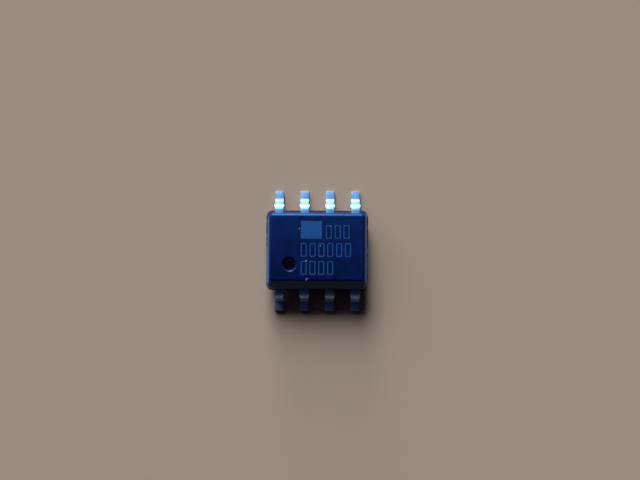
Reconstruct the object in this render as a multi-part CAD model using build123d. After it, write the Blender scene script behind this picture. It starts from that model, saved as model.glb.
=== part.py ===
from build123d import *
from math import degrees, radians, tan
import os

# Eight-lead small-outline chip, in millimetres.
# The origin is on the board's surface, under the middle of the body. X runs along the body's
# long side, and Z points up from the board. Pins 1 to 4 are on the -Y side, from -X to +X, and
# pins 5 to 8 come back along the +Y side.

# Moulded body
end_margin = 0.595          # middle of the outermost lead to the end of the body
body_width = 3.90           # across the two long sides, where the mould halves meet
body_height = 1.45          # underside to top
standoff = 0.15             # board to the underside
draft_angle = 11            # degrees, on all sides of both mould halves
rim_corner = 0.18           # plan corners of the top and the underside
edge_radius = 0.18          # round the top, the bevel and the underside
bevel = 0.32                # 45 degree bevel of the pin 1 long edge, measured along the top
flash = 0.03                # resin ledge pressed out between the mould halves

# Round dimple that marks pin 1
dimple_diameter = 0.77      # at the top face
dimple_floor = 0.62         # diameter of its floor
dimple_depth = 0.09
dimple_from_end = 1.12      # its middle to the -X end of the body
dimple_from_side = 1.25     # its middle to the pin 1 long side of the body

# Mark of the ejector pin on the underside
ejector_diameter = 1.00
ejector_depth = 0.04

# Stamped and bent leads, outside the body, 6.00 from tip to tip across both rows
leads_per_side = 4
lead_pitch = 1.27
lead_thickness = 0.20
lead_width = 0.42
shoulder = 0.0299           # flat length from the resin ledge to the upper bend
bend_radius = 0.20          # inside both bends
bend_angle = 80             # degrees, from the shoulder down to the leg
foot_flat = 0.35            # flat length of the foot
dam_bar_start = 0.122       # along the strip, from the start of the upper bend
dam_bar_width = 0.15        # along the strip
dam_bar_stub = 0.035        # what stays of the cut dam bar on each side of a lead

# Lead frame inside the body
side_cover = 0.40           # resin between the bonding ends and the long sides
end_cover = 0.30            # resin between the corner bonding ends and the short sides
finger_length = 0.40        # bonding end of a middle lead, inwards
finger_width = 0.80
corner_finger_width = 0.70  # bonding end of a corner lead, beside the paddle
lock_hole = 0.30            # hole through a corner lead that the resin fills
frame_gap = 0.20            # between neighbouring pieces of the frame
tie_bar_width = 0.30
tie_bar_proud = 0.02        # cut end outside the resin ledge
downset = 0.20              # step of the paddle below the leads
downset_angle = 45
downset_radius = 0.05       # inside both bends of the step
downset_start = 0.10        # from the paddle's edge to the step

# Chip, adhesive and bond wires
attach_thickness = 0.025
attach_border = 0.05        # adhesive that shows round the chip
die_length = 1.30
die_width = 1.10
die_thickness = 0.28
pad_inset = 0.12            # bond pads inside the chip's edge
wire_diameter = 0.04
wire_sides = 8              # flat sides of the wires, their balls and their stitches
wire_loop = 0.20            # top of the loop above the chip
wire_bend_radius = 0.06
wire_overshoot = 1.2        # share of its slope that a wire is drawn to, then cut off level
ball_diameter = 0.09
ball_height = 0.02
stitch_diameter = 0.09
stitch_height = 0.015
stitch_inset = 0.15         # stitch inside the end of the finger

# Places that follow from these sizes
row_length = (leads_per_side - 1) * lead_pitch
body_length = row_length + 2 * end_margin
ledge_length = body_length + 2 * flash
ledge_width = body_width + 2 * flash
body_top = standoff + body_height
frame_level = standoff + body_height / 2
frame_top = frame_level + lead_thickness / 2
frame_bottom = frame_level - lead_thickness / 2
mould_depth = body_top - frame_top
drawn_in = mould_depth * tan(radians(draft_angle))
finger_root = body_width / 2 - side_cover
finger_end = finger_root - finger_length
paddle_width = 2 * (finger_end - frame_gap)
corner_outer = body_length / 2 - end_cover
corner_inner = corner_outer - corner_finger_width
corner_end = tie_bar_width / 2 + frame_gap
paddle_length = 2 * (corner_inner - frame_gap)
paddle_top = frame_top - downset
attach_top = paddle_top + attach_thickness
die_top = attach_top + die_thickness


def block(length, width, bottom, top, centre=(0, 0)):
    """A plain block between two levels."""
    solid = Box(length, width, top - bottom, align=(Align.CENTER, Align.CENTER, Align.MIN))
    return Pos(centre[0], centre[1], bottom) * solid


def disc(diameter, bottom, top, centre=(0, 0)):
    """A round disc between two levels."""
    solid = Cylinder(diameter / 2, top - bottom, align=(Align.CENTER, Align.CENTER, Align.MIN))
    return Pos(centre[0], centre[1], bottom) * solid


def band(inner, outer):
    """The face between two curves, closed by a straight line at each end."""
    return make_face([inner, Line(inner @ 1, outer @ 1), outer, Line(outer @ 0, inner @ 0)])


def step_length(drop, angle, inside_radius):
    """How far a strip that steps down through two equal bends runs from bend to bend."""
    middle_radius = inside_radius + lead_thickness / 2
    return 2 * middle_radius * tan(radians(angle) / 2) + drop / tan(radians(angle))


def stepped_strip(start, step_start, end, upper, lower, angle, inside_radius):
    """Side view of a strip of the frame's sheet that steps down from one level to another.

    It runs level from start to step_start, turns down by the angle, turns back, and runs level
    again to end. Both levels are those of the strip's underside.
    """
    step_end = step_start + step_length(upper - lower, angle, inside_radius)
    tight = inside_radius
    wide = inside_radius + lead_thickness
    skins = []
    for raised, first, second in ((0, tight, wide), (lead_thickness, wide, tight)):
        knee = step_start + first * tan(radians(angle) / 2)
        heel = step_end - second * tan(radians(angle) / 2)
        high = upper + raised
        low = lower + raised
        corners = [(start, high), (knee, high), (heel, low), (end, low)]
        skins.append(FilletPolyline(*corners, radius=(first, second)))
    return band(*skins)


def mould_half():
    """One half of the body above its parting plane, drawn in by the draft."""
    outline = RectangleRounded(body_length, body_width, rim_corner + drawn_in)
    return extrude(outline, amount=mould_depth, taper=draft_angle)


def upper_half():
    """The half with the bevel along its pin 1 edge, rounded at the top."""
    solid = Pos(0, 0, frame_top) * mould_half()
    bevel_start = body_width / 2 - drawn_in - bevel
    bevel_plane = Plane(origin=(0, -bevel_start, body_top), z_dir=(0, -1, 1))
    solid = split(solid, bisect_by=bevel_plane, keep=Keep.BOTTOM)
    top = solid.faces().sort_by(Axis.Z)[-1]
    slope = solid.faces().filter_by(bevel_plane)[0]
    return fillet(top.edges() + slope.edges(), min(edge_radius, rim_corner))


def lower_half():
    """The half below the leads, rounded at the underside."""
    solid = Pos(0, 0, frame_bottom) * Rot(180, 0, 0) * mould_half()
    underside = solid.faces().sort_by(Axis.Z)[0]
    return fillet(underside.edges(), min(edge_radius, rim_corner))


def resin_ledge():
    """The flash pressed out all round between the mould halves, as thick as the frame."""
    outline = RectangleRounded(ledge_length, ledge_width, rim_corner + drawn_in + flash)
    return Pos(0, 0, frame_bottom) * extrude(outline, amount=lead_thickness)


def dimple():
    """The shallow cone that marks pin 1."""
    cone = Cone(dimple_floor / 2, dimple_diameter / 2, dimple_depth)
    across = dimple_from_end - body_length / 2
    along = dimple_from_side - body_width / 2
    return Pos(across, along, body_top - dimple_depth / 2) * cone


def moulding():
    """The whole block of resin, before room is made for what it holds."""
    solid = upper_half() + resin_ledge() + lower_half()
    solid -= dimple()
    return solid - disc(ejector_diameter, standoff, standoff + ejector_depth)


def gull_wing():
    """The bent strip of a lead on the +Y side, from its bonding end to its foot."""
    bend_start = ledge_width / 2 + shoulder
    tip = bend_start + step_length(frame_bottom, bend_angle, bend_radius) + foot_flat
    side_view = stepped_strip(
        finger_end, bend_start, tip, frame_bottom, 0, bend_angle, bend_radius
    )
    strip = Plane.YZ * extrude(side_view, amount=lead_width / 2, both=True)
    return strip + dam_bar_stubs(bend_start)


def dam_bar_stubs(bend_start):
    """What is left of the cut dam bar on both edges of a lead, on its upper bend."""
    middle_radius = bend_radius + lead_thickness / 2
    first = degrees(dam_bar_start / middle_radius)
    turn = degrees(dam_bar_width / middle_radius)
    centre = (bend_start, frame_bottom - bend_radius)
    inner = CenterArc(centre, bend_radius, 90 - first, -turn)
    outer = CenterArc(centre, bend_radius + lead_thickness, 90 - first, -turn)
    stub = Plane.YZ * extrude(band(inner, outer), amount=dam_bar_stub)
    right = Pos(lead_width / 2, 0, 0) * stub
    return right + mirror(right, about=Plane.YZ)


def middle_finger():
    """The wide bonding end of a middle lead."""
    centre = (0, (finger_end + finger_root) / 2)
    return block(finger_width, finger_length, frame_bottom, frame_top, centre)


def corner_finger(lead_x):
    """The bonding end of a corner lead at the +X end, beside the paddle, and its lock hole."""
    width = finger_root - corner_end
    centre = ((corner_outer + corner_inner) / 2 - lead_x, (finger_root + corner_end) / 2)
    plate = block(corner_finger_width, width, frame_bottom, frame_top, centre)
    return plate, disc(lock_hole, frame_bottom, frame_top, centre)


def lead_place(number):
    """Where a lead stands: its X, its side (1 or -1), and whether it is a corner lead.

    The pins count anticlockwise from the dimple, seen from above.
    """
    side = -1 if number <= leads_per_side else 1
    column = number - 1 if side < 0 else 2 * leads_per_side - number
    lead_x = column * lead_pitch - row_length / 2
    return lead_x, side, column in (0, leads_per_side - 1)


def lead(number):
    """A whole lead, from its bonding end inside the resin to its foot."""
    lead_x, side, at_corner = lead_place(number)
    if at_corner:
        plate, hole = corner_finger(abs(lead_x))
        solid = gull_wing() + plate - hole
    else:
        solid = gull_wing() + middle_finger()
    if lead_x < 0:
        solid = mirror(solid, about=Plane.YZ)
    if side < 0:
        solid = mirror(solid, about=Plane.XZ)
    return Pos(lead_x, 0, 0) * solid


def die_paddle():
    """The plate under the chip, with two tie bars that step up to the leads' level."""
    edge = -paddle_length / 2
    plate_bottom = paddle_top - lead_thickness
    plate = block(paddle_length, paddle_width, plate_bottom, paddle_top)
    bar_end = -ledge_length / 2 - tie_bar_proud
    step_end = edge - downset_start
    step_start = step_end - step_length(downset, downset_angle, downset_radius)
    side_view = stepped_strip(
        bar_end, step_start, edge, frame_bottom, plate_bottom, downset_angle, downset_radius
    )
    bar = Plane.XZ * extrude(side_view, amount=tie_bar_width / 2, both=True)
    return plate + bar + mirror(bar, about=Plane.YZ)


def die_attach():
    """The adhesive layer between the paddle and the chip."""
    length = die_length + 2 * attach_border
    width = die_width + 2 * attach_border
    return block(length, width, paddle_top, attach_top)


def die():
    """The silicon chip."""
    return block(die_length, die_width, attach_top, die_top)


def pressed_end(diameter, height, centre):
    """The flattened end of a wire where it is bonded, standing on a point."""
    return Pos(centre) * extrude(RegularPolygon(diameter / 2, wire_sides), amount=height)


def bond_places(number):
    """Where the wire of a lead starts on the chip and lands on the lead."""
    lead_x, side, at_corner = lead_place(number)
    spread = (die_length / 2 - pad_inset) / (row_length / 2)
    pad = Vector(lead_x * spread, side * (die_width / 2 - pad_inset), die_top)
    if at_corner:
        beside = corner_inner + stitch_inset
        landing_x = beside if lead_x > 0 else -beside
        landing = Vector(landing_x, side * (corner_end + stitch_inset), frame_top)
    else:
        landing = Vector(lead_x, side * (finger_end + stitch_inset), frame_top)
    return pad, landing


def bond_wire(number):
    """A gold wire: ball on the chip, loop, and stitch on the lead's bonding end."""
    pad, landing = bond_places(number)
    ball = pressed_end(ball_diameter, ball_height, pad)
    stitch = pressed_end(stitch_diameter, stitch_height, landing)
    run = Vector(landing.X - pad.X, landing.Y - pad.Y, 0)
    start = Vector(0, ball_height)
    top = Vector(0, wire_loop)
    fall = Vector(run.length, landing.Z - pad.Z) - top
    path = FilletPolyline(start, top, top + fall * wire_overshoot, radius=wire_bend_radius)
    section = Plane(origin=start, z_dir=(0, 1, 0)) * RegularPolygon(wire_diameter / 2, wire_sides)
    upright = Plane(origin=pad, x_dir=run, z_dir=run.cross(Vector(0, 0, 1)))
    wire = upright * sweep(section, path=path)
    under = block(body_length, body_width, standoff, frame_top)
    return ball + (wire - under) + stitch


def main():
    """Write every piece. The first and the last lead have no wire: they are not connected."""
    solids = {"die_paddle": die_paddle(), "die_attach": die_attach(), "die": die()}
    for number in range(1, 2 * leads_per_side + 1):
        solids[f"lead_{number}"] = lead(number)
    for number in range(2, 2 * leads_per_side):
        solids[f"wire_{number}"] = bond_wire(number)
    body = moulding()
    for held in solids.values():
        body -= held
    solids["body"] = body
    os.makedirs("parts", exist_ok=True)
    for name, solid in solids.items():
        export_step(solid, f"parts/{name}.step")


main()
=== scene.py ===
"""An eight-lead small-outline chip, dressed and lit, seen from almost straight above.

Lengths in the names below are in millimetres, and MM turns them into Blender's metres. The
frame is the chip's own: X along the body, +Z up from the board, pin 1 at the -X, -Y corner.
"""
import math
import random

import bmesh
import bpy
from mathutils import Matrix, Vector

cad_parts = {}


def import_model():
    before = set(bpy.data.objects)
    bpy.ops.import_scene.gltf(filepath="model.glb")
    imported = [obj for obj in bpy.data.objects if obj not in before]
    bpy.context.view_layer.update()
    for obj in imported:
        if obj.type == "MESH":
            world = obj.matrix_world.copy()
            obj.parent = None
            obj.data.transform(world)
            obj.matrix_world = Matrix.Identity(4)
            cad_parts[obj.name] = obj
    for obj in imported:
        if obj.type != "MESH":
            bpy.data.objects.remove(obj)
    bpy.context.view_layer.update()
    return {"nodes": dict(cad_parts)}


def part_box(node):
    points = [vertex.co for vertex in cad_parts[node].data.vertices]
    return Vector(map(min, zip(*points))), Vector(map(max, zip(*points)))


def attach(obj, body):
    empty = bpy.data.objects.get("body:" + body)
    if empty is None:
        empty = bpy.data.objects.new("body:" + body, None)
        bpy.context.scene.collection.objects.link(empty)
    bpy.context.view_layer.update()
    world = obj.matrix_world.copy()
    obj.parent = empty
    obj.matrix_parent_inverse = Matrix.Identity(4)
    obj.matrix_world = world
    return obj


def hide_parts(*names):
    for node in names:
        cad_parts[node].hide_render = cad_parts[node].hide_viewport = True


MM = 0.001

# Camera, as the photograph was taken
PHOTO_SIZE = (640, 480)
CHIP_PIXEL = (317.2, 251.05)    # middle of the eight lead tips in the photograph
PIXELS_PER_MM = 19.89
CAMERA_DISTANCE = 150
CAMERA_TILT = 2.0               # degrees off straight down, standing on the pin 1 side
CAMERA_TURN = 0.3               # degrees anticlockwise about the vertical
SENSOR_WIDTH = 36
CAMERA_CLIP = (1, 10000)

# Light: a soft window behind the chip, dimmer ones to its left and lower down, and a dim room
WINDOWS = (                     # name, elevation, degrees from +Y towards -X, degrees wide, strength
    ("window", 32, 8, 26, 3.9),
    ("side_window", 26, 38, 32, 1.2),
    ("low_window", 9, 8, 16, 2.0),
)
WINDOW_COLOUR = (0.62, 0.82, 1.0)
ROOM_TOWARDS = (-0.50, 0.77, -0.40)     # where the room is lightest
ROOM_COLOURS = (                # share of the way towards it, and the room's colour there
    (0.36, (0.010, 0.0055, 0.012)),
    (0.72, (0.030, 0.060, 0.120)),
    (0.97, (0.280, 0.430, 0.650)),
)

FLOOR_HALF = 600                # from the middle of the table to its edges
FLOOR_COLOUR = (0.525, 0.318, 0.208)

# Rounding of edges that the solids leave sharp
LEAD_EDGE = 0.009
BODY_EDGE = 0.012
EDGE_STEPS = 3
SHARP_ANGLE = 30                # degrees between faces that meet in an edge to be rounded
CREASE_ANGLE = 40               # degrees between faces that stay a crease in the shading
FLAT_WEIGHT = 100               # how much the large faces count in the shading, 1 to 100
FLAT_ANGLE = 1                  # degrees between faces that are joined into one before rounding
MERGE_DISTANCE = 0.00001        # distance between corners that are one corner

# Laser marking: a plain patch, and rows of plain upright boxes
MARK_LEFT = -0.815
MARK_PATCH = (0.568, 1.046, 0.885)      # lower edge, width, height
MARK_ROWS = (                           # lower edge, left edge, how many boxes
    (0.568, 0.430, 3),
    (-0.337, -0.815, 6),
    (-1.230, -0.815, 4),
)
BOX_PITCH = 0.44
BOX_SIZE = (0.29, 0.68)
BOX_STROKE = 0.042
MARK_CORNER = 0.06
CORNER_STEPS = 5
MARK_PROUD = 0.002
MARK_SUNK = 0.01

# Dust on the top face: X, Y and radius of each speck, and the ends and the bend of one fibre
SPECKS = (
    (-0.897, 1.061, 0.022),
    (-0.539, -0.541, 0.030),
    (0.162, 0.210, 0.018),
    (0.640, 1.190, 0.016),
)
FIBRE = ((-0.555, -1.530), (-0.545, -1.500), (-0.520, -1.450), (-0.480, -1.405))
FIBRE_RADIUS = 0.012
FIBRE_SIDES = 6
FIBRE_BEND = -1.47              # Y beyond which the fibre hangs down over the bevel
FIBRE_SLOPE = 0.5               # how far down it goes there for each millimetre
SPECK_ROUGHNESS = 0.25          # share of its radius that a speck's surface goes in and out
SPECK_SHAPE = (1, 0.8, 0.5)     # a speck's extent in X, Y and Z before it is turned
SPECK_LIFT = 1 / 3              # share of its radius from the top face to a speck's middle
DUST_SEED = 11

# Ragged fin of resin along the ledge, where the upper mould half closed on the leads
FIN_LEVEL = 0.972               # its upper side
FIN_THICKNESS = (0.010, 0.004)  # at the ledge and at its edge
FIN_REACH = (0.001, 0.019)      # least and most that it stands out of the ledge
FIN_ROOT = 0.03                 # what lies inside the ledge
FIN_STEP = 0.045                # distance from point to point round the ledge
FIN_WANDER = 0.6                # share of the way to a new random reach from point to point
FIN_SEED = 5
LEDGE_CORNER = 0.33             # radius of the ledge's corners
LEAD_GAP = 0.222                # from a lead's middle to where the fin starts
BAR_GAP = 0.165                 # from a tie bar's middle to where the fin starts
SIDE_TOLERANCE = 0.001          # distance within which a point is on a long side

# Where the finish changes, and where light and shade are painted in
DIMPLE_PLACE = (-1.38, -0.70)
DIMPLE_FLOOR = 0.31             # radius of the pin 1 dimple's polished floor, which is painted dark as shade
DIMPLE_DEPTH = 0.09
DIMPLE_FADE = 0.01              # how far outside its floor the polish and the painted shade end
DIMPLE_LEVELS = (0.012, 0.006)  # distances from its floor's level where the polish and the painted shade begin and are full
CROWN = 0.085                   # how far the top face's middle stands above its edges
CROWN_REACH = 1.9               # distance in Y from the middle to where the crown has fallen so far
SIDE_DEPTHS = (0.01, 0.05)      # depths between which the top face's colour turns into the sides' colour, painted lighter as a sheen
SCUFF_START = 2.38              # distance from the middle beyond which the ledge is rubbed
SCUFF_FADE = 0.03
SCUFF_REACH = 0.09              # how far above and below the ledge's upper side that goes
SCUFF_TURN = 0.3                # Y on both sides of the middle between which it grows
SCUFF_GROWTH = 0.11             # by how much
SCRATCH = ((1.197, -0.392), (1.774, -0.844))
SCRATCH_WIDTH = 0.028
SCRATCH_FADE = 0.1              # length of its faint ends
SCRATCH_DEPTHS = (0.02, 0.01)   # depths below the top face where it begins and is full
LASER_PITCH = 0.04              # distance between the lines that the laser drew
BAR_END = 2.525                 # distance from the middle beyond which a tie bar's cut end starts
LEAD_PITCH = 1.27
LEAD_TIP = 2.992                # distance from the middle beyond which a lead is a cut end
STUB_SIDE = 0.238               # distance from a lead's middle beyond which it is a cut stub
CUT_FADE = 0.004                # distance over which the surface gives way to a cut end

# Colours and tints, where there are two from the darkest to the lightest
# painted light: the resin's colours are blue for the bluish window light on a near black resin
FACE_COLOURS = ((0.0014, 0.0031, 0.029), (0.0033, 0.0086, 0.068))
# painted sheen: the sides are painted lighter and bluer than the top face, for the light glancing off
# them
SIDE_PAINTED_SHEEN_COLOURS = ((0.0026, 0.0080, 0.050), (0.0040, 0.0125, 0.076))
SCRATCH_COLOUR = (0.014, 0.036, 0.130)
SCUFF_COLOUR = (0.10, 0.17, 0.30)
# painted shade: the dimple's floor is painted near black, for the shade and dark reflections in the
# hollow
DIMPLE_PAINTED_SHADE_COLOUR = (0.0022, 0.0034, 0.010)
# painted reflection: the resin's gloss and sheen tints are blue for the bluish window
RESIN_GLOSS = (0.11, 0.43, 1.0)
RESIN_SHEEN = (0.20, 0.45, 1.0)
# painted reflection: the tin's colours are blue for the bluish window it reflects; tin itself is
# silver grey
TIN_COLOURS = ((0.32, 0.54, 0.85), (0.42, 0.64, 0.95))
CUT_COLOURS = ((0.34, 0.20, 0.14), (0.48, 0.36, 0.30))
COPPER_COLOURS = ((0.46, 0.33, 0.28), (0.60, 0.45, 0.38))
BAR_END_COLOURS = ((0.16, 0.15, 0.17), (0.34, 0.33, 0.36))
ADHESIVE_COLOURS = ((0.40, 0.40, 0.40), (0.62, 0.62, 0.62))
SILICON_COLOURS = ((0.16, 0.17, 0.20), (0.24, 0.25, 0.30))
GOLD_COLOURS = ((0.85, 0.60, 0.25), (1.00, 0.75, 0.32))
MARK_COLOURS = ((0.007, 0.047, 0.150), (0.022, 0.096, 0.285))
MARK_GLOSS = (0.3, 0.6, 1.0)
DUST_COLOURS = ((0.40, 0.52, 0.72), (0.62, 0.72, 0.86))

# Roughness, smoothest first where there are two
RESIN_ROUGHNESS = (0.34, 0.47)
DIMPLE_ROUGHNESS = 0.16
TIN_ROUGHNESS = (0.40, 0.60)
DRAWN_ROUGHNESS = 0.07          # what the lines drawn along the strip add to it
COPPER_ROUGHNESS = 0.45
BAR_END_ROUGHNESS = 0.75
ADHESIVE_ROUGHNESS = 0.7
SILICON_ROUGHNESS = 0.15
GOLD_ROUGHNESS = 0.25
MARK_ROUGHNESS = 0.75
DUST_ROUGHNESS = 0.9
FLOOR_ROUGHNESS = 0.8

# Grains of noise to a millimetre
RESIN_CLOUDS = 1.7
RESIN_GRAIN = 30
SCRATCH_BREAKS = 7
SCUFF_PATCHES = 6
TIN_CLOUDS = 4
TIN_BLOTCHES = 11
TIN_GRAIN = 45
BAR_END_GRAIN = 30
METAL_CLOUDS = 6
MARK_SPECKLE = 22
DUST_SPECKLE = 60
DRAWN_ALONG = 5                 # the lines drawn along the strip, along and across it
DRAWN_ACROSS = 60

# Parts of the noise's range from 0 to 1 that are used
FACE_RANGE = (0.3, 0.7)
SCRATCH_RANGE = (0.35, 0.6)
SCUFF_RANGE = (0.50, 0.60)
BLOTCH_RANGE = (0.32, 0.68)

# How strongly a thing shows, from 0 to 1
SCUFF_STRENGTH = 0.9
LINE_STRENGTH = 0.1

# Depth of the relief
RESIN_RELIEF = 0.003
TIN_RELIEF = (0.003, 0.0012, 0.001)     # blotches, drawn lines, grain
COPPER_RELIEF = 0.0015
MARK_RELIEF = (0.003, 0.0008)           # speckle, the laser's lines


def add_node(tree, kind, name):
    """A new node of one kind, under a plain name."""
    node = tree.nodes.new(kind)
    node.label = name
    return node


def new_material(name):
    """A material with a principled shader, its node tree and that shader."""
    material = bpy.data.materials.new(name)
    material.use_nodes = True
    tree = material.node_tree
    return material, tree, tree.nodes["Principled BSDF"]


def set_values(shader, values):
    """Set the shader's own sockets by name."""
    for name, value in values.items():
        shader.inputs[name].default_value = value


def millimetres(tree):
    """Places on the chip, in millimetres."""
    place = add_node(tree, "ShaderNodeTexCoord", "place")
    scaled = add_node(tree, "ShaderNodeVectorMath", "millimetres")
    scaled.operation = "SCALE"
    scaled.inputs["Scale"].default_value = 1 / MM
    tree.links.new(place.outputs["Object"], scaled.inputs[0])
    return scaled.outputs[0]


def axes(tree, place):
    """The X, Y and Z of a place, by name."""
    node = add_node(tree, "ShaderNodeSeparateXYZ", "axes")
    tree.links.new(place, node.inputs[0])
    return node.outputs


def calculate(tree, operation, first, second=0.0):
    """One sum. Each term is a number or another node's output."""
    node = add_node(tree, "ShaderNodeMath", operation.lower())
    node.operation = operation
    for term, place in ((first, node.inputs[0]), (second, node.inputs[1])):
        if isinstance(term, (int, float)):
            place.default_value = term
        else:
            tree.links.new(term, place)
    return node.outputs[0]


def noise(tree, place, per_mm, detail=2.0, roughness=0.5, stretch=None):
    """Noise from 0 to 1, with about per_mm grains to a millimetre."""
    if stretch:
        scaled = add_node(tree, "ShaderNodeVectorMath", "stretch")
        scaled.operation = "MULTIPLY"
        scaled.inputs[1].default_value = stretch
        tree.links.new(place, scaled.inputs[0])
        place = scaled.outputs[0]
    node = add_node(tree, "ShaderNodeTexNoise", "noise")
    set_values(node, {"Scale": per_mm, "Detail": detail, "Roughness": roughness})
    tree.links.new(place, node.inputs["Vector"])
    return node.outputs["Fac"]


def ramp(tree, value, stops):
    """Colours along a value, from (value, colour) pairs."""
    node = add_node(tree, "ShaderNodeValToRGB", "ramp")
    elements = node.color_ramp.elements
    for index, (at, colour) in enumerate(stops):
        element = elements[index] if index < 2 else elements.new(at)
        element.position = at
        element.color = (*colour, 1)
    tree.links.new(value, node.inputs["Fac"])
    return node.outputs["Color"]


def spread(tree, value, start, end, low=0.0, high=1.0):
    """The value's range from start to end, mapped to the range from low to high."""
    node = add_node(tree, "ShaderNodeMapRange", "range")
    set_values(node, {"From Min": start, "From Max": end, "To Min": low, "To Max": high})
    tree.links.new(value, node.inputs["Value"])
    return node.outputs["Result"]


def mix(tree, share, first, second):
    """Two colours mixed by a share. Each is a colour or another node's output."""
    node = add_node(tree, "ShaderNodeMix", "mix")
    node.data_type = "RGBA"
    tree.links.new(share, node.inputs["Factor"])
    for colour, name in ((first, "A"), (second, "B")):
        place = next(i for i in node.inputs if i.name == name and i.type == "RGBA")
        if isinstance(colour, tuple):
            place.default_value = (*colour, 1)
        else:
            tree.links.new(colour, place)
    return next(o for o in node.outputs if o.type == "RGBA")


def mix_value(tree, share, first, second):
    """Two values mixed by a share."""
    change = calculate(tree, "SUBTRACT", second, first)
    return calculate(tree, "ADD", first, calculate(tree, "MULTIPLY", change, share))


def bump(tree, shader, heights):
    """Relief on a shader from (height, depth in millimetres) pairs, one on top of the other."""
    normal = None
    for height, depth in heights:
        node = add_node(tree, "ShaderNodeBump", "relief")
        node.inputs["Distance"].default_value = depth * MM
        tree.links.new(height, node.inputs["Height"])
        if normal:
            tree.links.new(normal, node.inputs["Normal"])
        normal = node.outputs["Normal"]
    tree.links.new(normal, shader.inputs["Normal"])


def dimple_floor(tree, place, top):
    """A share that is 1 on the pin 1 dimple's floor and 0 elsewhere."""
    at = axes(tree, place)
    across = calculate(tree, "SUBTRACT", at["X"], DIMPLE_PLACE[0])
    along = calculate(tree, "SUBTRACT", at["Y"], DIMPLE_PLACE[1])
    squares = calculate(
        tree, "ADD", calculate(tree, "POWER", across, 2), calculate(tree, "POWER", along, 2)
    )
    from_middle = calculate(tree, "SQRT", squares)
    inside = spread(tree, from_middle, DIMPLE_FLOOR + DIMPLE_FADE, DIMPLE_FLOOR)
    above_floor = calculate(tree, "SUBTRACT", at["Z"], top - DIMPLE_DEPTH)
    level = spread(tree, calculate(tree, "ABSOLUTE", above_floor), *DIMPLE_LEVELS)
    return calculate(tree, "MULTIPLY", inside, level)


def dot(tree, place, direction):
    """How far a place lies along a direction."""
    node = add_node(tree, "ShaderNodeVectorMath", "along")
    node.operation = "DOT_PRODUCT"
    node.inputs[1].default_value = direction
    tree.links.new(place, node.inputs[0])
    return node.outputs["Value"]


def scratch(tree, place, top):
    """A share that is 1 on the faint scratch on the top face, which fades in and out."""
    start = Vector((*SCRATCH[0], 0))
    run = Vector((*SCRATCH[1], 0)) - start
    forward = run.normalized()
    aside = Vector((-forward.y, forward.x, 0))
    along = calculate(tree, "SUBTRACT", dot(tree, place, forward), start.dot(forward))
    across = calculate(tree, "SUBTRACT", dot(tree, place, aside), start.dot(aside))
    near = spread(tree, calculate(tree, "ABSOLUTE", across), SCRATCH_WIDTH, 0)
    begun = spread(tree, along, 0, SCRATCH_FADE)
    unfinished = spread(tree, along, run.length, run.length - SCRATCH_FADE)
    broken = spread(tree, noise(tree, place, SCRATCH_BREAKS, detail=4), *SCRATCH_RANGE)
    height = axes(tree, place)["Z"]
    upper = spread(tree, height, top - SCRATCH_DEPTHS[0], top - SCRATCH_DEPTHS[1])
    share = near
    for part in (begun, unfinished, broken, upper):
        share = calculate(tree, "MULTIPLY", share, part)
    return share


def scuffs(tree, place):
    """A share that is high where the ledge is rubbed pale at the short ends, most on pin 1's side."""
    at = axes(tree, place)
    from_middle = calculate(tree, "ABSOLUTE", at["X"])
    end = spread(tree, from_middle, SCUFF_START, SCUFF_START + SCUFF_FADE)
    off_ledge = calculate(tree, "ABSOLUTE", calculate(tree, "SUBTRACT", at["Z"], FIN_LEVEL))
    on_ledge = spread(tree, off_ledge, SCUFF_REACH, SCUFF_REACH / 2)
    patches = noise(tree, place, SCUFF_PATCHES, detail=4, roughness=0.7)
    growth = spread(tree, at["Y"], SCUFF_TURN, -SCUFF_TURN, 0.0, SCUFF_GROWTH)
    grown = calculate(tree, "ADD", patches, growth)
    worn = spread(tree, grown, *SCUFF_RANGE, 0.0, SCUFF_STRENGTH)
    return calculate(tree, "MULTIPLY", calculate(tree, "MULTIPLY", end, on_ledge), worn)


def crown(tree, place):
    """The top face's slight crown, as heights from 1 in its middle to 0 at its sides."""
    aside = calculate(tree, "DIVIDE", axes(tree, place)["Y"], CROWN_REACH)
    return calculate(tree, "SUBTRACT", 1, calculate(tree, "POWER", aside, 2))


def resin_material(top):
    """Moulded epoxy, near black, with the mould's fine spark-eroded grain and clouds of colour. Its
    colours and tints are painted blue for the bluish window light, its sides painted lighter as a
    sheen, and its dimple's floor painted dark as shade.
    """
    material, tree, shader = new_material("mould_resin")
    place = millimetres(tree)
    clouds = noise(tree, place, RESIN_CLOUDS, detail=4, roughness=0.6)
    grain = noise(tree, place, RESIN_GRAIN, detail=2)
    # painted light: the top face's blue stands for the bluish window light
    face = mix(tree, spread(tree, clouds, *FACE_RANGE), *FACE_COLOURS)
    # painted sheen: the sides are coloured lighter and bluer than the top face
    sides_painted_sheen = mix(tree, clouds, *SIDE_PAINTED_SHEEN_COLOURS)
    height = axes(tree, place)["Z"]
    side = spread(tree, height, top - SIDE_DEPTHS[0], top - SIDE_DEPTHS[1])
    colour = mix(tree, side, face, sides_painted_sheen)
    colour = mix(tree, scratch(tree, place, top), colour, SCRATCH_COLOUR)
    colour = mix(tree, scuffs(tree, place), colour, SCUFF_COLOUR)
    # the dimple's floor is polished, and painted near black as the shade in the hollow
    polished_and_shaded = dimple_floor(tree, place, top)
    colour = mix(tree, polished_and_shaded, colour, DIMPLE_PAINTED_SHADE_COLOUR)
    tree.links.new(colour, shader.inputs["Base Color"])
    rough = mix_value(tree, polished_and_shaded, spread(tree, grain, 0, 1, *RESIN_ROUGHNESS), DIMPLE_ROUGHNESS)
    tree.links.new(rough, shader.inputs["Roughness"])
    set_values(shader, {
        "Specular IOR Level": 0.80,
        "Specular Tint": (*RESIN_GLOSS, 1),
        "Sheen Weight": 0.3,
        "Sheen Roughness": 0.30,
        "Sheen Tint": (*RESIN_SHEEN, 1),
    })
    bump(tree, shader, [(crown(tree, place), CROWN), (grain, RESIN_RELIEF)])
    return material


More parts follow.
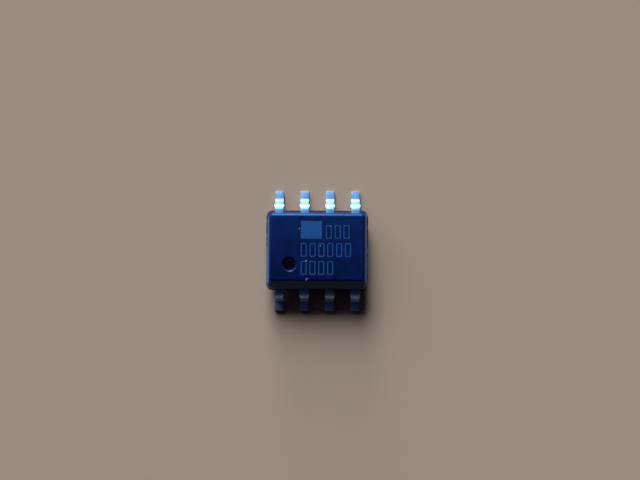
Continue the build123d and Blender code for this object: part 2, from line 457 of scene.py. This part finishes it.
def tin_material():
    """Matte tin plating over a stamped strip, cut through to copper at the tips and stubs."""
    material, tree, shader = new_material("tin_plating")
    place = millimetres(tree)
    at = axes(tree, place)
    clouds = noise(tree, place, TIN_CLOUDS, detail=3)
    grain = noise(tree, place, TIN_GRAIN, detail=2)
    blotches = noise(tree, place, TIN_BLOTCHES, detail=3, roughness=0.6)
    drawn = noise(tree, place, 1, detail=3, stretch=(DRAWN_ACROSS, DRAWN_ALONG, DRAWN_ALONG))
    # painted reflection: the tin is coloured blue for the window it reflects
    tin = mix(tree, clouds, *TIN_COLOURS)
    copper = mix(tree, drawn, *CUT_COLOURS)
    tip = spread(tree, calculate(tree, "ABSOLUTE", at["Y"]), LEAD_TIP, LEAD_TIP + CUT_FADE)
    turn = calculate(tree, "FRACT", calculate(tree, "DIVIDE", at["X"], LEAD_PITCH))
    aside = calculate(tree, "ABSOLUTE", calculate(tree, "SUBTRACT", turn, 0.5))
    stub = spread(tree, aside, STUB_SIDE / LEAD_PITCH, (STUB_SIDE + CUT_FADE) / LEAD_PITCH)
    cut = calculate(tree, "MAXIMUM", tip, stub)
    tree.links.new(mix(tree, cut, tin, copper), shader.inputs["Base Color"])
    shader.inputs["Metallic"].default_value = 1.0
    mottled = spread(tree, blotches, *BLOTCH_RANGE, *TIN_ROUGHNESS)
    lines = spread(tree, drawn, 0, 1, 0.0, DRAWN_ROUGHNESS)
    tree.links.new(calculate(tree, "ADD", mottled, lines), shader.inputs["Roughness"])
    bump(tree, shader, list(zip((blotches, drawn, grain), TIN_RELIEF)))
    return material


def frame_material():
    """The frame's bare copper alloy, with its tie bars' cut ends dull and grey."""
    material, tree, shader = new_material("copper_frame")
    place = millimetres(tree)
    drawn = noise(tree, place, 1, detail=3, stretch=(DRAWN_ALONG, DRAWN_ACROSS, DRAWN_ACROSS))
    copper = mix(tree, drawn, *COPPER_COLOURS)
    dull = mix(tree, noise(tree, place, BAR_END_GRAIN, detail=3), *BAR_END_COLOURS)
    from_middle = calculate(tree, "ABSOLUTE", axes(tree, place)["X"])
    end = spread(tree, from_middle, BAR_END, BAR_END + CUT_FADE)
    tree.links.new(mix(tree, end, copper, dull), shader.inputs["Base Color"])
    rough = mix_value(tree, end, COPPER_ROUGHNESS, BAR_END_ROUGHNESS)
    tree.links.new(rough, shader.inputs["Roughness"])
    shader.inputs["Metallic"].default_value = 1.0
    bump(tree, shader, [(drawn, COPPER_RELIEF)])
    return material


def plain_metal(name, colours, roughness):
    """A bare metal with a faint variation, for the pieces sealed in the resin."""
    material, tree, shader = new_material(name)
    place = millimetres(tree)
    colour = mix(tree, noise(tree, place, METAL_CLOUDS), *colours)
    tree.links.new(colour, shader.inputs["Base Color"])
    set_values(shader, {"Metallic": 1.0, "Roughness": roughness})
    return material


def floor_material():
    """The pale table."""
    material, tree, shader = new_material("table")
    set_values(shader, {
        "Base Color": (*FLOOR_COLOUR, 1),
        "Roughness": FLOOR_ROUGHNESS,
        "Specular IOR Level": 0.2,
    })
    return material


def mark_material():
    """Resin turned pale and rough by the laser, line by line."""
    material, tree, shader = new_material("laser_mark")
    place = millimetres(tree)
    speckle = noise(tree, place, MARK_SPECKLE, detail=2)
    turn = calculate(tree, "MULTIPLY", axes(tree, place)["Y"], math.tau / LASER_PITCH)
    line = calculate(tree, "SINE", turn)
    burnt = calculate(tree, "ADD", speckle, calculate(tree, "MULTIPLY", line, LINE_STRENGTH))
    colour = mix(tree, burnt, *MARK_COLOURS)
    tree.links.new(colour, shader.inputs["Base Color"])
    set_values(shader, {"Roughness": MARK_ROUGHNESS, "Specular Tint": (*MARK_GLOSS, 1)})
    bump(tree, shader, list(zip((speckle, line), MARK_RELIEF)))
    return material


def dust_material():
    """Pale household dust."""
    material, tree, shader = new_material("dust")
    speckle = noise(tree, millimetres(tree), DUST_SPECKLE, detail=2)
    colour = mix(tree, speckle, *DUST_COLOURS)
    tree.links.new(colour, shader.inputs["Base Color"])
    set_values(shader, {"Roughness": DUST_ROUGHNESS, "Specular IOR Level": 0.2})
    return material


def new_mesh(name, bm):
    """A mesh from what bmesh holds."""
    bmesh.ops.recalc_face_normals(bm, faces=bm.faces)
    mesh = bpy.data.meshes.new(name)
    bm.to_mesh(mesh)
    bm.free()
    return mesh


def add_piece(name, mesh, material):
    """A new piece at the frame's origin, riding on the chip."""
    piece = bpy.data.objects.new(name, mesh)
    bpy.context.scene.collection.objects.link(piece)
    mesh.materials.clear()
    mesh.materials.append(material)
    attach(piece, "root")
    return piece


def rounded_copy(node, width, material):
    """A copy of a solid with its sharp convex edges rounded, in the solid's place."""
    bm = bmesh.new()
    bm.from_mesh(node.data)
    bmesh.ops.remove_doubles(bm, verts=bm.verts, dist=MERGE_DISTANCE * MM)
    bmesh.ops.dissolve_limit(
        bm, angle_limit=math.radians(FLAT_ANGLE), verts=bm.verts, edges=bm.edges
    )
    sharp = [
        edge for edge in bm.edges
        if edge.is_convex and edge.calc_face_angle(0) > math.radians(SHARP_ANGLE)
    ]
    bmesh.ops.bevel(
        bm, geom=sharp, offset=width * MM, segments=EDGE_STEPS, profile=0.5,
        affect="EDGES", clamp_overlap=True,
    )
    mesh = new_mesh(node.name + "_shown", bm)
    mesh.attributes.remove(mesh.attributes["custom_normal"])
    mesh.shade_smooth()
    mesh.set_sharp_from_angle(angle=math.radians(CREASE_ANGLE))
    piece = add_piece(node.name + "_shown", mesh, material)
    flatten = piece.modifiers.new("flat faces", "WEIGHTED_NORMAL")
    flatten.mode = "FACE_AREA"
    flatten.weight = FLAT_WEIGHT
    flatten.keep_sharp = True
    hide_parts(node.name)
    return piece


def round_box(left, low, width, height, corner):
    """Points of a box with round corners, anticlockwise."""
    points = []
    middles = (
        (left + width - corner, low + height - corner),
        (left + corner, low + height - corner),
        (left + corner, low + corner),
        (left + width - corner, low + corner),
    )
    for quarter, (x, y) in enumerate(middles):
        for step in range(CORNER_STEPS + 1):
            angle = math.radians(90 * (quarter + step / CORNER_STEPS))
            points.append((x + corner * math.cos(angle), y + corner * math.sin(angle)))
    return points


def ring(bm, points, height):
    """A loop of vertices at one height."""
    return [bm.verts.new(Vector((x, y, height)) * MM) for x, y in points]


def band(bm, first, second):
    """Faces between two loops of as many vertices."""
    count = len(first)
    for index in range(count):
        following = (index + 1) % count
        bm.faces.new((first[index], first[following], second[following], second[index]))


def filled_mark(bm, points, top):
    """A thin plate of one outline."""
    under = ring(bm, points, top - MARK_SUNK)
    over = ring(bm, points, top + MARK_PROUD)
    band(bm, under, over)
    bm.faces.new(over)
    bm.faces.new(under)


def outlined_mark(bm, outer, inner, top):
    """A thin frame between two outlines of as many points."""
    loops = [
        ring(bm, outer, top - MARK_SUNK),
        ring(bm, outer, top + MARK_PROUD),
        ring(bm, inner, top + MARK_PROUD),
        ring(bm, inner, top - MARK_SUNK),
    ]
    for first, second in zip(loops, loops[1:] + loops[:1]):
        band(bm, first, second)


def marking(top):
    """A plain patch and rows of boxes on the top face."""
    material = mark_material()
    low, width, height = MARK_PATCH
    bm = bmesh.new()
    filled_mark(bm, round_box(MARK_LEFT, low, width, height, MARK_CORNER), top)
    add_piece("mark_patch", new_mesh("mark_patch", bm), material)
    width, height = BOX_SIZE
    for row, (low, left, count) in enumerate(MARK_ROWS, start=1):
        bm = bmesh.new()
        for index in range(count):
            x = left + index * BOX_PITCH
            outer = round_box(x, low, width, height, MARK_CORNER)
            inner = round_box(
                x + BOX_STROKE, low + BOX_STROKE, width - 2 * BOX_STROKE,
                height - 2 * BOX_STROKE, MARK_CORNER - BOX_STROKE / 2,
            )
            outlined_mark(bm, outer, inner, top)
        add_piece(f"mark_row_{row}", new_mesh(f"mark_row_{row}", bm), material)


def dust(top):
    """The specks of dust and the short fibre that lie on the top face."""
    chance = random.Random(DUST_SEED)
    bm = bmesh.new()
    for x, y, radius in SPECKS:
        place = Matrix.Translation(Vector((x, y, top + radius * SPECK_LIFT)) * MM)
        shape = Matrix.Diagonal((*SPECK_SHAPE, 1))
        turned = Matrix.Rotation(chance.uniform(0, math.tau), 4, "Z")
        made = bmesh.ops.create_icosphere(bm, subdivisions=2, radius=radius * MM)
        for vertex in made["verts"]:
            vertex.co *= 1 + chance.uniform(-SPECK_ROUGHNESS, SPECK_ROUGHNESS)
            vertex.co = place @ turned @ shape @ vertex.co
    material = dust_material()
    add_piece("dust_specks", new_mesh("dust_specks", bm), material)
    bm = bmesh.new()
    resting = top + FIBRE_RADIUS / 2
    run = [(x, y, resting + min(0, y - FIBRE_BEND) * FIBRE_SLOPE) for x, y in FIBRE]
    thread(bm, run, FIBRE_RADIUS)
    add_piece("dust_fibre", new_mesh("dust_fibre", bm), material)


def thread(bm, points, radius):
    """A closed round thread through a few points."""
    places = [Vector(point) for point in points]
    rings = []
    for index, place in enumerate(places):
        run = places[min(index + 1, len(places) - 1)] - places[max(index - 1, 0)]
        turned = run.to_track_quat("Z", "Y")
        rings.append([])
        for side in range(FIBRE_SIDES):
            angle = math.tau * side / FIBRE_SIDES
            aside = turned @ Vector((radius * math.cos(angle), radius * math.sin(angle), 0))
            rings[-1].append(bm.verts.new((place + aside) * MM))
    for first, second in zip(rings, rings[1:]):
        band(bm, first, second)
    bm.faces.new(rings[0])
    bm.faces.new(rings[-1])


def ledge_edge(half_length, half_width):
    """Points on the ledge's edge and the way out of it there, anticlockwise round the body."""
    edge = []
    corner = LEDGE_CORNER
    arc_steps = round(corner * math.pi / 2 / FIN_STEP)
    straights = (2 * (half_width - corner), 2 * (half_length - corner)) * 2
    for side, straight in enumerate(straights):
        out = Matrix.Rotation(math.radians(90 * side), 2) @ Vector((1, 0))
        forward = Vector((-out.y, out.x))
        reach = half_length if side % 2 == 0 else half_width
        steps = round(straight / FIN_STEP)
        for step in range(steps):
            edge.append((out * reach + forward * straight * (step / steps - 0.5), out))
        middle = out * (reach - corner) + forward * straight / 2
        for step in range(arc_steps):
            turned = Matrix.Rotation(math.radians(90) * step / arc_steps, 2) @ out
            edge.append((middle + turned * corner, turned))
    return edge


def metal_there(point, half_width):
    """Whether a lead or a tie bar leaves the ledge at this point."""
    if abs(abs(point.y) - half_width) < SIDE_TOLERANCE:
        aside = abs(point.x / LEAD_PITCH % 1 - 0.5) * LEAD_PITCH
        return aside < LEAD_GAP
    return abs(point.y) < BAR_GAP


def fin_runs(half_length, half_width):
    """The ledge's edge, in runs from one piece of metal to the next."""
    runs = [[]]
    for point, out in ledge_edge(half_length, half_width):
        if metal_there(point, half_width):
            if runs[-1]:
                runs.append([])
        else:
            runs[-1].append((point, out))
    runs[0] = runs.pop() + runs[0]
    return runs


def fin_section(bm, point, out, reach):
    """The fin's four corners at one point, where it stands out by its reach."""
    tip = point + out * reach
    root = point - out * FIN_ROOT
    at_root, at_tip = FIN_THICKNESS
    corners = ((root, 0), (tip, 0), (tip, at_tip), (root, at_root))
    return [bm.verts.new(Vector((*spot, FIN_LEVEL - depth)) * MM) for spot, depth in corners]


def mould_flash(material):
    """The ragged fin that the resin pressed out between the upper mould half and the frame."""
    chance = random.Random(FIN_SEED)
    low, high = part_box("body")
    bm = bmesh.new()
    for run in fin_runs(high.x / MM, high.y / MM):
        sections = []
        reach = FIN_REACH[0]
        for index, (point, out) in enumerate(run):
            at_end = index in (0, len(run) - 1)
            reach += (chance.uniform(*FIN_REACH) - reach) * FIN_WANDER
            sections.append(fin_section(bm, point, out, FIN_REACH[0] if at_end else reach))
        for first, second in zip(sections, sections[1:]):
            band(bm, first, second)
        bm.faces.new(sections[0])
        bm.faces.new(sections[-1])
    add_piece("mould_flash", new_mesh("mould_flash", bm), material)


def window_direction(elevation, from_y):
    """Unit vector from the chip to a window. Both angles are in degrees."""
    level = math.cos(math.radians(elevation))
    turn = math.radians(from_y)
    height = math.sin(math.radians(elevation))
    return Vector((-math.sin(turn) * level, math.cos(turn) * level, height))


def windows():
    """Soft suns, as wide as the windows."""
    for name, elevation, from_y, width, strength in WINDOWS:
        light = bpy.data.lights.new(name, "SUN")
        light.energy = strength
        light.angle = math.radians(width)
        light.color = WINDOW_COLOUR
        lamp = bpy.data.objects.new(name, light)
        bpy.context.scene.collection.objects.link(lamp)
        lamp.rotation_mode = "QUATERNION"
        lamp.rotation_quaternion = window_direction(elevation, from_y).to_track_quat("Z", "Y")


def room():
    """A dim room, lighter and bluer low down on the windows' side."""
    world = bpy.data.worlds.new("room")
    bpy.context.scene.world = world
    world.use_nodes = True
    tree = world.node_tree
    direction = add_node(tree, "ShaderNodeTexCoord", "direction")
    towards = dot(tree, direction.outputs["Generated"], Vector(ROOM_TOWARDS).normalized())
    share = spread(tree, towards, -1, 1)
    tree.links.new(ramp(tree, share, ROOM_COLOURS), tree.nodes["Background"].inputs["Color"])


def table():
    """The pale table, under the feet."""
    mesh = bpy.data.meshes.new("table")
    bm = bmesh.new()
    bmesh.ops.create_grid(bm, x_segments=1, y_segments=1, size=FLOOR_HALF * MM)
    bm.to_mesh(mesh)
    bm.free()
    mesh.materials.append(floor_material())
    floor = bpy.data.objects.new("table", mesh)
    bpy.context.scene.collection.objects.link(floor)


def camera():
    """The photograph's camera."""
    lens = SENSOR_WIDTH * CAMERA_DISTANCE * PIXELS_PER_MM / PHOTO_SIZE[0]
    data = bpy.data.cameras.new("camera")
    data.sensor_width = SENSOR_WIDTH
    data.lens = lens
    data.clip_start = CAMERA_CLIP[0] * MM
    data.clip_end = CAMERA_CLIP[1] * MM
    view = bpy.data.objects.new("camera", data)
    bpy.context.scene.collection.objects.link(view)
    turn = Matrix.Rotation(math.radians(CAMERA_TURN), 3, "Z")
    tilt = Matrix.Rotation(math.radians(CAMERA_TILT), 3, "X")
    across = (PHOTO_SIZE[0] / 2 - CHIP_PIXEL[0]) / PIXELS_PER_MM
    up = (CHIP_PIXEL[1] - PHOTO_SIZE[1] / 2) / PIXELS_PER_MM
    aim = turn @ Vector((across, up, 0))
    back = turn @ tilt @ Vector((0, 0, CAMERA_DISTANCE))
    view.rotation_mode = "QUATERNION"
    view.rotation_quaternion = (turn @ tilt).to_quaternion()
    view.location = (aim + back) * MM
    bpy.context.scene.camera = view


def dress(frame, top):
    """Give every solid its look, and round those that show."""
    nodes = frame["nodes"]
    tin = tin_material()
    resin = resin_material(top)
    rounded_copy(nodes["body"], BODY_EDGE, resin)
    mould_flash(resin)
    inner = {
        "die_paddle": frame_material(),
        "die_attach": plain_metal("silver_adhesive", ADHESIVE_COLOURS, ADHESIVE_ROUGHNESS),
        "die": plain_metal("silicon", SILICON_COLOURS, SILICON_ROUGHNESS),
    }
    gold = plain_metal("gold", GOLD_COLOURS, GOLD_ROUGHNESS)
    for name, node in nodes.items():
        if name.startswith("lead_"):
            rounded_copy(node, LEAD_EDGE, tin)
        elif name.startswith("wire_"):
            node.material_slots[0].material = gold
        elif name in inner:
            node.material_slots[0].material = inner[name]


def main():
    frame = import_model()
    bpy.context.scene.view_settings.view_transform = "Standard"
    camera()
    windows()
    room()
    table()
    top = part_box("body")[1].z / MM
    dress(frame, top)
    marking(top)
    dust(top)


main()
